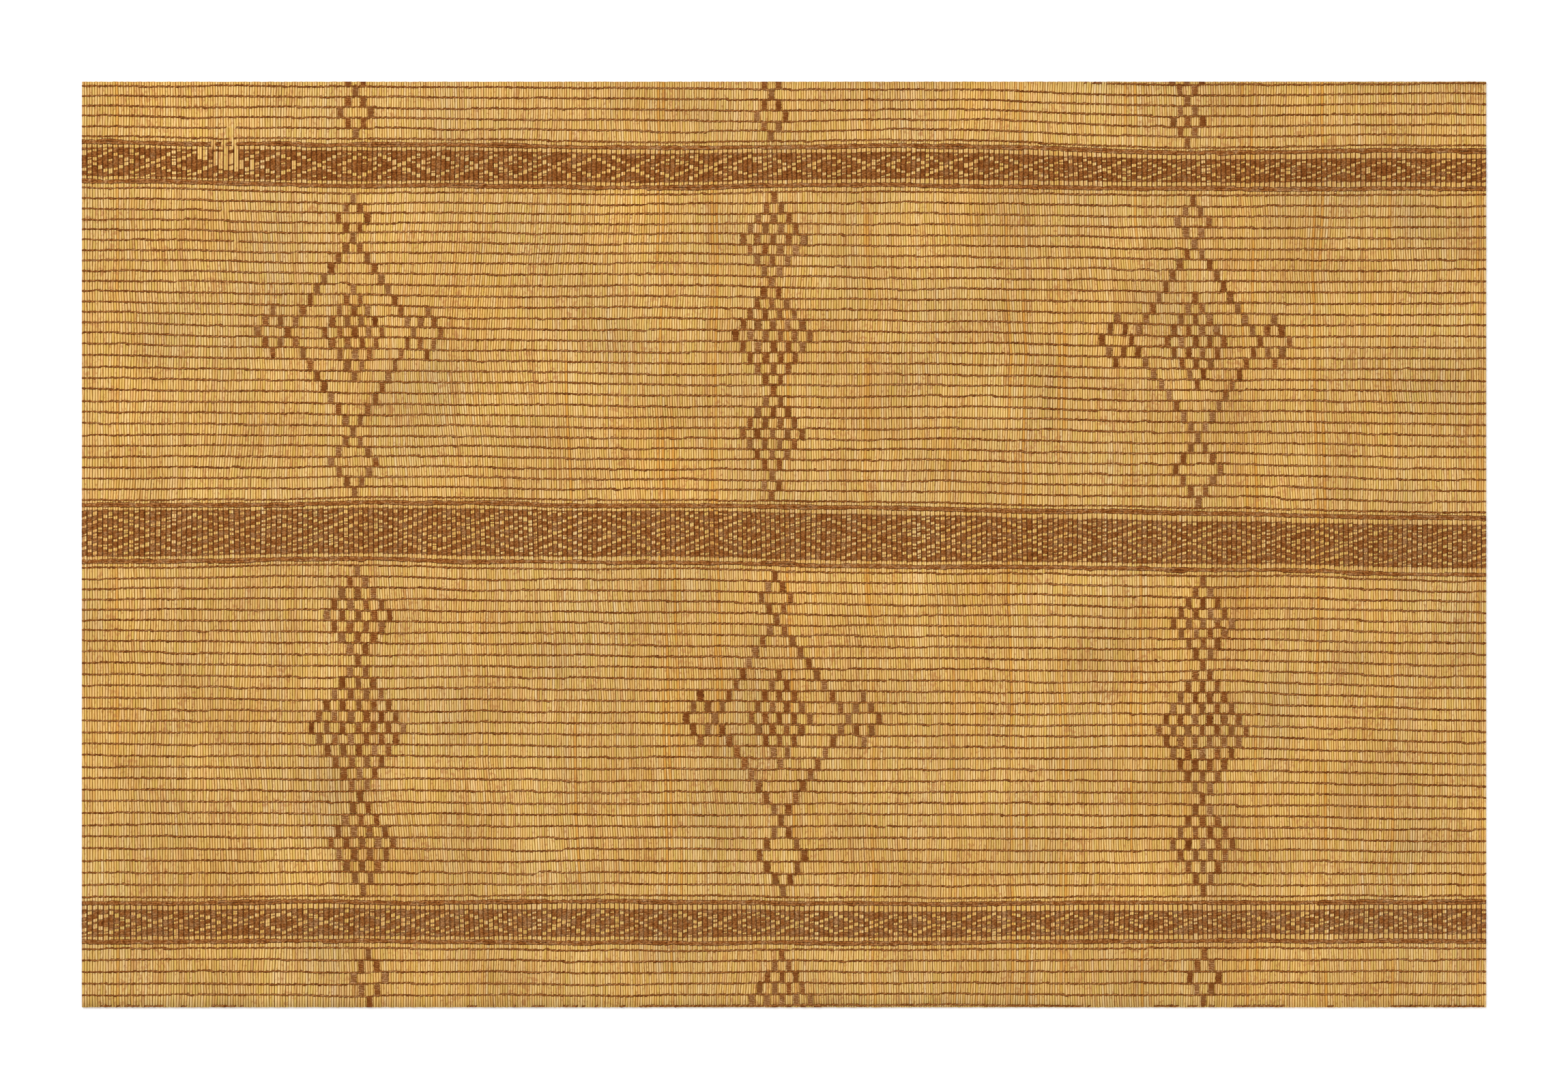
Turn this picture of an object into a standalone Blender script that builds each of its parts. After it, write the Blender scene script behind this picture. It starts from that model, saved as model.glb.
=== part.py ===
"""A reed and leather floor mat, lying flat and cut square on all four sides.

Thin grass reeds lie side by side and are twined together by rows of leather thong. Three bands, where the
leather covers the reeds, cross the mat between two plain fields and two short strips. The mat is one piece,
so it is one closed solid: a flat underside on the floor, and a top that rises at each leather row and band.

Metres, +Z up. X runs along the leather rows and +Y along the reeds, towards the edge that is the far one
when the mat is seen from its front. The origin is the middle of the underside.
"""

import math

import bmesh
import bpy
from mathutils import Vector

MM = 0.001

# The cut sheet.
MAT_WIDTH = 1650 * MM
MAT_LENGTH = 1088 * MM

# Heights above the floor. The reeds' height is the mean of their round tops.
REED_TOP = 2.7 * MM
THONG_TOP = 3.6 * MM
DOUBLE_THONG_TOP = 3.7 * MM
BAND_TOP = 3.5 * MM

# Widths along the reeds of what the leather makes.
THONG_WIDTH = 2.6 * MM
DOUBLE_THONG_WIDTH = 5.2 * MM
DOUBLE_THONG_FLAT = 2.4 * MM
BAND_SHOULDER = 0.9 * MM

# The rows of leather are numbered from the far edge to the near one, and they drift a little across the mat.
# Some are followed: each line gives a row's number, and how far it lies from the far edge, in mm, at even
# stations from the left side to the right side. The rows between them lie evenly.
FOLLOWED_ROWS = (
    (2, (5, 6, 8, 10, 16, 15)),
    (7, (65, 67, 71, 69, 77, 75)),
    (8, (124, 131, 132, 130, 134, 133)),
    (15, (210, 213, 214, 218, 222, 222)),
    (23, (308, 314, 318, 319, 325, 326)),
    (30, (402, 404, 407, 408, 412, 416)),
    (37, (492, 489, 491, 495, 501, 507)),
    (38, (571, 569, 573, 577, 581, 587)),
    (45, (657, 660, 662, 665, 667, 673)),
    (53, (764, 766, 767, 769, 769, 777)),
    (60, (859, 860, 862, 861, 863, 866)),
    (67, (958, 957, 956, 959, 957, 957)),
    (68, (1019, 1018, 1021, 1020, 1018, 1018)),
    (72, (1073, 1074, 1073, 1072, 1073, 1073)),
)

# The first and the last row lie outside the cut, so the strips at the two ends run on past it.
FIRST_ROW = 0
LAST_ROW = 74

# A band fills the gap between two rows: a double row, the covered part and another double row. Each is named by
# the row at its far side, and its places are shares of the way from there to the next row.
BANDS = {
    7: {"double_far": 0.112, "cover_from": 0.23, "cover_to": 0.76, "double_near": 0.868},
    37: {"double_far": 0.083, "cover_from": 0.165, "cover_to": 0.83, "double_near": 0.909},
    67: {"double_far": 0.12, "cover_from": 0.25, "cover_to": 0.75, "double_near": 0.866},
}

# The mat lies a little unevenly: two slow waves, across and along.
UNEVEN = 0.12 * MM
UNEVEN_WAVES_ACROSS = 3.3
UNEVEN_WAVES_ALONG = 2.4

COLUMNS = 20
SAME_PLANE = math.radians(0.01)


def smooth_between(values, share):
    """The value at this share of the way along evenly spaced values, eased from each to the next."""
    place = min(max(share, 0.0), 1.0) * (len(values) - 1)
    first = min(int(place), len(values) - 2)
    part = place - first
    ease = part * part * (3 - 2 * part)
    return values[first] * (1 - ease) + values[first + 1] * ease


def row_distance(row, share):
    """How far from the far edge a row lies, at this share of the width. A line between two rows has a number
    between theirs."""
    gaps = list(zip(FOLLOWED_ROWS, FOLLOWED_ROWS[1:]))
    (above, far_side), (below, near_side) = next((gap for gap in gaps if row <= gap[1][0]), gaps[-1])
    part = (row - above) / (below - above)
    return MM * (smooth_between(far_side, share) * (1 - part) + smooth_between(near_side, share) * part)


def ridge(row, width, flat, top):
    """The stations of one raised row: its foot, its top, which may be flat, and its other foot."""
    stations = [(row, -width / 2, REED_TOP), (row, -flat / 2, top)]
    if flat:
        stations.append((row, flat / 2, top))
    stations.append((row, width / 2, REED_TOP))
    return stations


def thong(row):
    return ridge(row, THONG_WIDTH, 0.0, THONG_TOP)


def double_thong(row):
    return ridge(row, DOUBLE_THONG_WIDTH, DOUBLE_THONG_FLAT, DOUBLE_THONG_TOP)


def band(row, shares):
    """A band on the near side of this row: double row, covered part, double row."""
    cover_from = row + shares["cover_from"]
    cover_to = row + shares["cover_to"]
    return [
        *double_thong(row + shares["double_far"]),
        (cover_from, 0.0, REED_TOP),
        (cover_from, BAND_SHOULDER, BAND_TOP),
        (cover_to, -BAND_SHOULDER, BAND_TOP),
        (cover_to, 0.0, REED_TOP),
        *double_thong(row + shares["double_near"]),
    ]


def all_stations():
    """Every line of the relief from the far end to the near one: its row number, its offset and its height."""
    stations = [(FIRST_ROW, 0.0, REED_TOP)]
    for row in range(FIRST_ROW + 1, LAST_ROW):
        stations += thong(row)
        if row in BANDS:
            stations += band(row, BANDS[row])
    return [*stations, (LAST_ROW, 0.0, REED_TOP)]


def unevenness(x, y):
    across = math.sin(math.tau * UNEVEN_WAVES_ACROSS * x / MAT_WIDTH + 3 * y / MAT_LENGTH)
    along = math.cos(math.tau * UNEVEN_WAVES_ALONG * y / MAT_LENGTH)
    return UNEVEN * across * along


def shape_relief(mesh):
    """A grid, one line of points to a station, with each point moved to its place on the mat's top."""
    stations = all_stations()
    steps = len(stations) - 1
    bmesh.ops.create_grid(mesh, x_segments=COLUMNS, y_segments=steps, size=0.5)
    for point in mesh.verts:
        share = point.co.x + 0.5
        row, offset, height = stations[round((0.5 - point.co.y) * steps)]
        x = MAT_WIDTH * point.co.x
        y = MAT_LENGTH / 2 - row_distance(row, share) - offset
        point.co = Vector((x, y, height + unevenness(x, y)))


def cut_square(mesh):
    """Cuts the relief along the mat's far and near edges."""
    for side in (1, -1):
        bmesh.ops.bisect_plane(
            mesh,
            geom=[*mesh.verts, *mesh.edges, *mesh.faces],
            dist=1e-6,
            plane_co=(0, side * MAT_LENGTH / 2, 0),
            plane_no=(0, side, 0),
            clear_outer=True,
        )


def fill_to_floor(mesh):
    """Takes the relief down to a flat underside, and makes each flat side one face."""
    top = list(mesh.faces)
    made = bmesh.ops.extrude_face_region(mesh, geom=top)["geom"]
    under = [piece for piece in made if isinstance(piece, bmesh.types.BMVert)]
    for point in under:
        point.co.z = 0.0
    bmesh.ops.recalc_face_normals(mesh, faces=mesh.faces)
    flat = [face for face in mesh.faces if abs(face.normal.z) < 0.01 or face.normal.z < -0.99]
    edges = {edge for face in flat for edge in face.edges if all(f in flat for f in edge.link_faces)}
    bmesh.ops.dissolve_limit(
        mesh,
        angle_limit=SAME_PLANE,
        verts=under,
        edges=list(edges),
    )
    bmesh.ops.triangulate(mesh, faces=mesh.faces)


def straw_material():
    material = bpy.data.materials.new("straw_and_leather")
    material.use_nodes = True
    shader = material.node_tree.nodes["Principled BSDF"]
    shader.inputs["Base Color"].default_value = (0.52, 0.31, 0.10, 1)
    shader.inputs["Roughness"].default_value = 0.6
    shader.inputs["Metallic"].default_value = 0.0
    return material


def build_mat(collection):
    mesh = bmesh.new()
    shape_relief(mesh)
    cut_square(mesh)
    fill_to_floor(mesh)
    data = bpy.data.meshes.new("reed_mat")
    mesh.to_mesh(data)
    mesh.free()
    mat = bpy.data.objects.new("reed_mat", data)
    mat.data.materials.append(straw_material())
    collection.objects.link(mat)


def main():
    for leftover in list(bpy.data.objects):
        bpy.data.objects.remove(leftover)
    collection = bpy.data.collections.new("reed_and_leather_mat")
    bpy.context.scene.collection.children.link(collection)
    build_mat(collection)


main()
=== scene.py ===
import math

import bpy
import numpy as np
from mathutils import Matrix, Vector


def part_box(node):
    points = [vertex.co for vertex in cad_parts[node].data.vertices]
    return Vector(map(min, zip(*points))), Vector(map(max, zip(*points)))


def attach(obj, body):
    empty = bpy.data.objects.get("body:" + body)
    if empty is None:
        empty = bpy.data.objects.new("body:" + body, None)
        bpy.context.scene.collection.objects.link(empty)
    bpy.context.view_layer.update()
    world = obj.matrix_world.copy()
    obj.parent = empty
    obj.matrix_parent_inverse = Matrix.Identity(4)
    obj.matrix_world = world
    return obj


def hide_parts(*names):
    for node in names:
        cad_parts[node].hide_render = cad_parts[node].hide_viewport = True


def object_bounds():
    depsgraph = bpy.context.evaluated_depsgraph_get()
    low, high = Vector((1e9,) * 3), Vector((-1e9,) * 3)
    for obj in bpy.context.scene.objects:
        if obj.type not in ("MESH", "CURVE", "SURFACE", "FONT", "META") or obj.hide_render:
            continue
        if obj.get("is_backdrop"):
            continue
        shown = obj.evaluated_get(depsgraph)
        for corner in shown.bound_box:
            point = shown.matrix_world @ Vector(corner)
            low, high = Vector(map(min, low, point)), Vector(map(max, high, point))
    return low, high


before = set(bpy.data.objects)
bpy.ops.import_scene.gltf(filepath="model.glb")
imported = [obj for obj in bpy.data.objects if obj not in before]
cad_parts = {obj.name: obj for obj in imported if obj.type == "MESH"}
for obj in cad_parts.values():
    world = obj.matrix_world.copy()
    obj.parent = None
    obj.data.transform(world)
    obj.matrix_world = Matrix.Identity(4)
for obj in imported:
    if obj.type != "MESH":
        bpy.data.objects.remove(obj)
cad_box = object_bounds()

# The reeds. 564 grass stems lie side by side and run the mat's whole length, cut square at both ends. The
# weaving draws them together in pairs, so every second groove is a deep one. They are one piece, the sheet
# that all the leather is twined into.
MM = 0.001
low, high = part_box("reed_mat")
MAT_WIDTH, MAT_LENGTH = high.x - low.x, high.y - low.y
REEDS = 564
PAIRS = REEDS // 2
REED_BOTTOM = 0.3 * MM
REED_CREST = 2.8 * MM
REED_CREST_VARIES, REED_CREST_LIMIT = 0.13 * MM, 0.22 * MM
REED_SECTION = ((-1.0, 0.60), (-0.45, 1.0), (0.45, 1.0), (1.0, 0.60), (0.0, 0.0))   # across, up
ACROSS_REED = (0.0, 0.28, 0.72, 1.0, 0.5)       # the same points on the flat map
REED_INNER_SIDE, REED_BOUND_SIDE = 0.70, 0.90   # how far up the reeds of a pair meet, and in the bands
SEAM_SHADE_IN_PAIR, SEAM_SHADE_BETWEEN_PAIRS = (0.05, 0.55), (0.15, 0.7)    # how dark the painted shade in a seam is, from 0 to 1
# An open seam, where a pair stands apart from the next, has the darkest painted shade.
OPEN_SEAM_SHADE, OPEN_SEAM_SHARE = 1.0, 0.16
END_VARIES = 0.4 * MM
SIDE_FADE = 40 * MM         # a reed wanders in full from so far inside the left and right cuts
PAIR_FOLLOWS = 0.8          # how much of its neighbour's shift a pair takes over
PAIR_STRAYS = 0.22 * MM     # and how much it has of its own

# The reeds don't run quite straight. Some of them, counted from the left side, are followed down the mat:
# at five distances from the far edge, in mm, how far each lies from the left side, in mm.
FOLLOWED = (
    (95, (0, 91, 123, 251, 283, 443, 564), (0, 280, 373, 739, 832, 1294, 1650)),
    (
        306,
        (0, 65.5, 104.5, 143.5, 276.5, 407.5, 446.5, 485.5, 564),
        (0, 209, 320, 422, 812, 1199, 1309, 1418, 1650),
    ),
    (532, (0, 91, 123, 251, 283, 443, 564), (0, 281, 375, 739, 830, 1302, 1650)),
    (755, (0, 105.5, 238.5, 277.5, 316.5, 448.5, 564), (0, 326, 710, 820, 937, 1316, 1650)),
    (988, (0, 91, 123, 251, 283, 443, 564), (0, 288, 384, 749, 841, 1302, 1650)),
)
chance = np.random.default_rng(7)


def random_waves(count, height, across, along):
    """A slow unevenness: the sum of a few flat waves of these shortest and longest lengths, in metres."""
    turns_across = chance.choice((-1, 1), count) / chance.uniform(*across, count)
    turns_along = 1 / chance.uniform(*along, count)
    starts = chance.uniform(0, math.tau, count)
    heights = height * chance.uniform(0.6, 1.0, count) / math.sqrt(count)

    def at(x, y):
        waves = zip(turns_across, turns_along, starts, heights)
        return sum(size * np.sin(math.tau * (a * x + b * y) + start) for a, b, start, size in waves)

    return at


def drawn_by(is_first, firsts, others):
    """A random value for each of these, within one pair of limits where is_first holds, or else another."""
    first, other = (chance.uniform(*limits, len(is_first)) for limits in (firsts, others))
    return np.where(is_first, first, other)


def eased(share):
    """How far a change has gone that starts and ends gently."""
    share = np.clip(share, 0.0, 1.0)
    return share * share * (3 - 2 * share)


def side_fade(x):
    """1 inside the mat, and 0 at its left and right cuts, where the sides stay straight."""
    return np.clip((MAT_WIDTH / 2 - np.abs(x)) / SIDE_FADE, 0.0, 1.0)


reed_wander = random_waves(18, 1.1 * MM, (0.08, 0.4), (0.08, 0.4))
pair_shift = np.zeros(PAIRS + 1)
for pair in range(1, PAIRS):
    pair_shift[pair] = PAIR_FOLLOWS * pair_shift[pair - 1] + chance.normal(0, PAIR_STRAYS)


def reed_x(reed, y):
    """X of a place across the reeds, counted in reeds from the left side, at this y."""
    reed, y = np.broadcast_arrays(np.asarray(reed, float), np.asarray(y, float))
    distance = (MAT_LENGTH / 2 - y) / MM
    place = np.interp(reed, *FOLLOWED[0][1:])
    for (before, _, _), (after, followed, at) in zip(FOLLOWED, FOLLOWED[1:]):
        reached = eased((distance - before) / (after - before))
        place = place * (1 - reached) + np.interp(reed, followed, at) * reached
    x = place * MM - MAT_WIDTH / 2
    own = np.interp(reed / 2, np.arange(PAIRS + 1), pair_shift)
    return x + side_fade(x) * (own + reed_wander(x, y))


mat_waves = random_waves(5, 0.25 * MM, (0.3, 0.9), (0.3, 0.9))


def unevenness(x, y):
    """How much higher the mat lies here, where the reeds don't lie quite flat."""
    return np.abs(mat_waves(x, y))


def ring_points(x, y, z):
    """The points of a tube, a line of them for each ring, from their places along the three axes."""
    return np.stack(np.broadcast_arrays(x, y, z), axis=-1)


def each_ring(*values):
    """A line of values for each ring, one for each of its points."""
    return np.stack(np.broadcast_arrays(*values), axis=1)


def map_strip(rings, line, lines, lane, lanes):
    """The strip of the flat map that a tube fills: its lane across, and the run of each segment along."""
    run = (np.linspace(0, 1, rings) + line) / lines
    return np.array((lane, lane + 1)) / lanes, np.stack([run[:-1], run[1:]], axis=1)


END_ON_MAP = 0.001      # how much of the flat map a tube's end takes up along the run


def twined_mesh(name, tubes, across, turned=False):
    """One mesh of closed tubes. A tube has its rings of points, the named values of each point, and the strip
    of the flat map that each segment fills, as lane and run. Where turned, the runs go across the map."""
    sides = len(across)
    across = np.array([*across, across[0]])
    side = np.arange(sides)[::-1, None]
    points, corners, sizes, places, smooth, named = [], [], [], [], [], {}
    first = 0
    for rings, values, lane, run in tubes:
        steps = len(rings) - 1
        step = np.arange(steps)[None, :]
        a = first + step * sides + side
        b = first + step * sides + (side + 1) % sides
        quads = np.stack([a, b, b + sides, a + sides], axis=-1).reshape(-1)
        lane = np.broadcast_to(lane, (steps, 2))
        wide = lane[:, 1] - lane[:, 0]
        near, far = (lane[:, 0] + wide * across[side + k] for k in (0, 1))
        begin, end = (np.broadcast_to(run[:, k], near.shape) for k in (0, 1))
        quad_places = np.stack([near, begin, far, begin, far, end, near, end], axis=-1).reshape(-1, 2)
        height = rings[..., 2] - rings[..., 2].min(axis=1, keepdims=True)
        rim = END_ON_MAP * height / max(height.max(), 1e-9)
        ends = []
        closings = (0, slice(None, None, -1), run[0, 0], 1), (-1, slice(None), run[-1, 1], -1)
        for ring, order, place, sign in closings:
            at = lane[ring, 0] + wide[ring] * across[:sides]
            ends.append(np.stack([at, place + sign * rim[ring]], axis=1)[order])
        last = first + steps * sides
        points.append(rings.reshape(-1, 3))
        for key, value in values.items():
            named.setdefault(key, []).append(np.broadcast_to(value, rings.shape[:2]).ravel())
        corners += [quads, first + np.arange(sides)[::-1], last + np.arange(sides)]
        places += [quad_places, *ends]
        sizes += [np.full(steps * sides, 4), np.full(2, sides)]
        smooth += [np.ones(steps * sides, bool), np.zeros(2, bool)]
        first = last + sides
    points, corners, sizes = np.concatenate(points), np.concatenate(corners), np.concatenate(sizes)
    places = np.concatenate(places)
    mesh = bpy.data.meshes.new(name)
    mesh.vertices.add(len(points))
    mesh.vertices.foreach_set("co", points.ravel())
    mesh.loops.add(len(corners))
    mesh.loops.foreach_set("vertex_index", corners)
    mesh.polygons.add(len(sizes))
    mesh.polygons.foreach_set("loop_start", np.concatenate([[0], np.cumsum(sizes)[:-1]]))
    mesh.polygons.foreach_set("use_smooth", np.concatenate(smooth))
    mesh.update(calc_edges=True)
    flat_map = mesh.uv_layers.new(name="OFBake")
    flat_map.uv.foreach_set("vector", (places[:, ::-1] if turned else places).astype(np.float32).ravel())
    for key, value in named.items():
        mesh.attributes.new(key, "FLOAT", "POINT").data.foreach_set("value", np.concatenate(value))
    piece = bpy.data.objects.new(name, mesh)
    bpy.context.scene.collection.objects.link(piece)
    return piece


# The rows of leather that cross the reeds are numbered from the far edge to the near one. Some are followed
# across the mat: how far each lies from the far edge, in mm, at six even stations from left to right. The
# rows between them lie evenly. A band is the gap between two such rows, the ones that frame it.
FOLLOWED_ROWS = (
    (2, (5, 6, 8, 10, 16, 15)),
    (7, (65, 67, 71, 69, 77, 75)),
    (8, (124, 131, 132, 130, 134, 133)),
    (15, (210, 213, 214, 218, 222, 222)),
    (23, (308, 314, 318, 319, 325, 326)),
    (30, (402, 404, 407, 408, 412, 416)),
    (37, (492, 489, 491, 495, 501, 507)),
    (38, (571, 569, 573, 577, 581, 587)),
    (45, (657, 660, 662, 665, 667, 673)),
    (53, (764, 766, 767, 769, 769, 777)),
    (60, (859, 860, 862, 861, 863, 866)),
    (67, (958, 957, 956, 959, 957, 957)),
    (68, (1019, 1018, 1021, 1020, 1018, 1018)),
    (72, (1073, 1074, 1073, 1072, 1073, 1073)),
)
FIRST_ROW, UPPER_FIELD, LOWER_FIELD, NEAR_STRIP, LAST_ROW = 0, 8, 38, 68, 74
MOST_LENGTHS = 3        # a reed has at most so many straight lengths from one followed row to the next

# The bands, each named by the row at its far side. What is covered is given at six stations too, and all
# places are shares of the way between the framing rows.
BANDS = (
    {
        "row": 7, "double_far": 0.112, "double_near": 0.868, "paler": -0.03,
        "cover_from": (0.215, 0.215, 0.218, 0.235, 0.250, 0.266),
        "cover_to": (0.777, 0.777, 0.770, 0.748, 0.735, 0.737),
    },
    {
        "row": 37, "double_far": 0.083, "double_near": 0.909, "paler": 0.13,
        "cover_from": (0.150, 0.158, 0.155, 0.178, 0.200, 0.178),
        "cover_to": (0.832, 0.825, 0.825, 0.835, 0.818, 0.803),
    },
    {
        "row": 67, "double_far": 0.120, "double_near": 0.866, "paler": 0.25,
        "cover_from": (0.243, 0.245, 0.250, 0.265, 0.270, 0.246),
        "cover_to": (0.758, 0.765, 0.755, 0.757, 0.735, 0.725),
    },
)

row_waves = random_waves(16, 0.85 * MM, (0.10, 0.6), (0.03, 0.4))


def drift(values, share):
    """Eased between values at even stations, at this share of the width."""
    values = np.asarray(values, float)
    place = np.clip(share, 0.0, 1.0) * (len(values) - 1)
    station = np.minimum(place.astype(int), len(values) - 2)
    part = eased(place - station)
    return values[station] * (1 - part) + values[station + 1] * part


def line_y(row, x):
    """Y of a row across the mat. A line between two rows has a number between theirs."""
    pairs = list(zip(FOLLOWED_ROWS, FOLLOWED_ROWS[1:]))
    (first, above), (last, below) = next((pair for pair in pairs if row <= pair[1][0]), pairs[-1])
    part = (row - first) / (last - first)
    share = np.asarray(x) / MAT_WIDTH + 0.5
    y = MAT_LENGTH / 2 - MM * (drift(above, share) * (1 - part) + drift(below, share) * part)
    return y + row_waves(x, y)


def row_number(x, y):
    """The number of the last row before this place, and the part of the way from there to the next one."""
    numbers = [FIRST_ROW, *(number for number, _ in FOLLOWED_ROWS), LAST_ROW]
    lines = [line_y(number, x) for number in numbers]
    steps = zip(np.diff(numbers), lines, lines[1:])
    return sum(rows * np.clip((above - y) / (above - below), 0.0, 1.0) for rows, above, below in steps)


def station_rows():
    """The rows at which a reed has a ring of points: the followed rows, and up to two more between them."""
    for (row, _), (next_row, _) in zip(FOLLOWED_ROWS, FOLLOWED_ROWS[1:]):
        lengths = min(MOST_LENGTHS, round((next_row - row) / 2))
        yield from np.linspace(row, next_row, max(lengths, 1), endpoint=False)
    yield FOLLOWED_ROWS[-1][0]


def station_lines(reed):
    """Y of those rows at these places across the reeds, from the near row to the far one."""
    return [line_y(row, reed_x(reed, 0.0)) for row in list(station_rows())[::-1]]


def inner_sides():
    """How far up a reed's inner side is at each of its rings."""
    framing = [band["row"] + side for band in BANDS for side in (0, 1)]
    at_rows = [REED_BOUND_SIDE if row in framing else REED_INNER_SIDE for row in list(station_rows())[::-1]]
    return np.array([REED_INNER_SIDE, *at_rows, REED_INNER_SIDE])


ends_y = MAT_LENGTH / 2 * np.ones((1, REEDS + 1))
side_y = np.concatenate([-ends_y, station_lines(np.arange(REEDS + 1)), ends_y]).T
side_x = reed_x(np.arange(REEDS + 1)[:, None], side_y)


def laid_x(reed, y):
    """X of a place across the reeds, on the straight lengths that they are made of."""
    before = min(int(reed), REEDS - 1)
    left, right = (np.interp(y, side_y[side], side_x[side]) for side in (before, before + 1))
    return left + (right - left) * (reed - before)


def reed_tubes():
    """Every reed as a tube from the near end to the far end. The map holds them in two halves."""
    stations = station_lines(np.arange(REEDS) + 0.5)
    across, up = np.array(REED_SECTION).T
    inner = inner_sides()
    # Each seam gets painted shade, lighter within a pair and darker between pairs.
    seam_shades = drawn_by(np.arange(REEDS + 1) % 2 == 1, SEAM_SHADE_IN_PAIR, SEAM_SHADE_BETWEEN_PAIRS)
    seam_shades[::2][chance.uniform(size=PAIRS + 1) < OPEN_SEAM_SHARE] = OPEN_SEAM_SHADE
    for reed in range(REEDS):
        near, far = np.array((-MAT_LENGTH / 2, MAT_LENGTH / 2)) + chance.uniform(0, END_VARIES, 2) * (1, -1)
        y = np.array([near, *(station[reed] for station in stations), far])
        left, right = reed_x(reed, y), reed_x(reed + 1, y)
        middle = (left + right) / 2
        own_height = np.clip(chance.normal(0, REED_CREST_VARIES), -REED_CREST_LIMIT, REED_CREST_LIMIT)
        crest = REED_CREST + own_height + unevenness(middle, y)
        outward = across if reed % 2 else -across
        rings = ring_points(
            middle[:, None] + ((right - left) / 2)[:, None] * across,
            y[:, None],
            REED_BOTTOM + (crest - REED_BOTTOM)[:, None] * np.where(outward == -1, inner[:, None], up),
        )
        values = {
            "side": outward,
            "tone": chance.uniform(),
            "seam_shade": np.where(across < 0, seam_shades[reed], seam_shades[reed + 1]) * (np.abs(across) == 1),
            "row": row_number(middle, y)[:, None],
        }
        half, lane = divmod(reed, PAIRS)
        yield rings, values, *map_strip(len(y), half, 2, lane, PAIRS)


reeds = twined_mesh("reeds", reed_tubes(), ACROSS_REED)


class Finish:
    """A material while it is put together. Its nodes take numbers, colours and each other's outputs."""

    def __init__(self, name):
        self.material = bpy.data.materials.new(name)
        self.material.use_nodes = True
        self.nodes = self.material.node_tree.nodes
        self.shader = self.nodes["Principled BSDF"]
        self.place = self.add("TexCoord").outputs["Object"]

    def give(self, socket, value):
        if isinstance(value, bpy.types.NodeSocket):
            self.material.node_tree.links.new(value, socket)
        else:
            socket.default_value = value

    def add(self, kind, **settings):
        node = self.nodes.new("ShaderNode" + kind)
        for key, value in settings.items():
            if hasattr(node, key):
                setattr(node, key, value)
            else:
                self.give(node.inputs[key.replace("_", " ")], value)
        return node

    def maths(self, operation, *values):
        node = self.add("Math", operation=operation)
        for socket, value in zip(node.inputs, values):
            self.give(socket, value)
        return node.outputs[0]

    def times(self, *values):
        total = values[0]
        for value in values[1:]:
            total = self.maths("MULTIPLY", total, value)
        return total

    def sum_of(self, *parts):
        """The sum of several values, each times its weight."""
        total = 0.0
        for value, weight in parts:
            total = self.maths("MULTIPLY_ADD", value, weight, total)
        return total

    def rest(self, value):
        """What this value leaves of 1."""
        return self.maths("SUBTRACT", 1.0, value)

    def between(self, value, low, high):
        """0 up to the low value, 1 from the high one, and eased between them."""
        node = self.add("MapRange", interpolation_type="SMOOTHSTEP", Value=value,
                        From_Min=low, From_Max=high)
        return node.outputs[0]

    def blended(self, kind, amount, under, over):
        node = self.add("MixRGB", blend_type=kind)
        for socket, value in zip(node.inputs, (amount, under, over)):
            self.give(socket, value)
        return node.outputs[0]

    def tinted(self, under, over, amount):
        return self.blended("MIX", amount, under, (*over, 1))

    def attribute(self, name):
        return self.add("Attribute", attribute_name=name).outputs["Fac"]

    def noise(self, scale, detail, stretch=(1.0, 1.0, 1.0), turned=0.0, place=None):
        """Noise that is drawn out along each axis by so much, and then turned on the mat by this angle."""
        drawn_out = self.add("Mapping", vector_type="TEXTURE", Scale=stretch, Rotation=(0.0, 0.0, turned),
                             Vector=place or self.place)
        return self.add("TexNoise", Scale=scale, Detail=detail, Vector=drawn_out.outputs[0]).outputs["Fac"]

    def ramp(self, value, stops):
        """The colour at this value, from stops given as (place, colour)."""
        node = self.add("ValToRGB", Fac=value)
        elements = node.color_ramp.elements
        while len(elements) < len(stops):
            elements.new(0.5)
        for element, (place, colour) in zip(elements, stops):
            element.position = place
            element.color = (*colour, 1)
        return node.outputs[0]

    def done(self, colour, roughness, specular, relief, strength, distance):
        bump = self.add("Bump", Strength=strength, Distance=distance, Height=relief)
        self.give(self.shader.inputs["Base Color"], colour)
        self.give(self.shader.inputs["Normal"], bump.outputs[0])
        self.give(self.shader.inputs["Roughness"], roughness)
        self.give(self.shader.inputs["Specular IOR Level"], specular)
        return self.material


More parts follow.
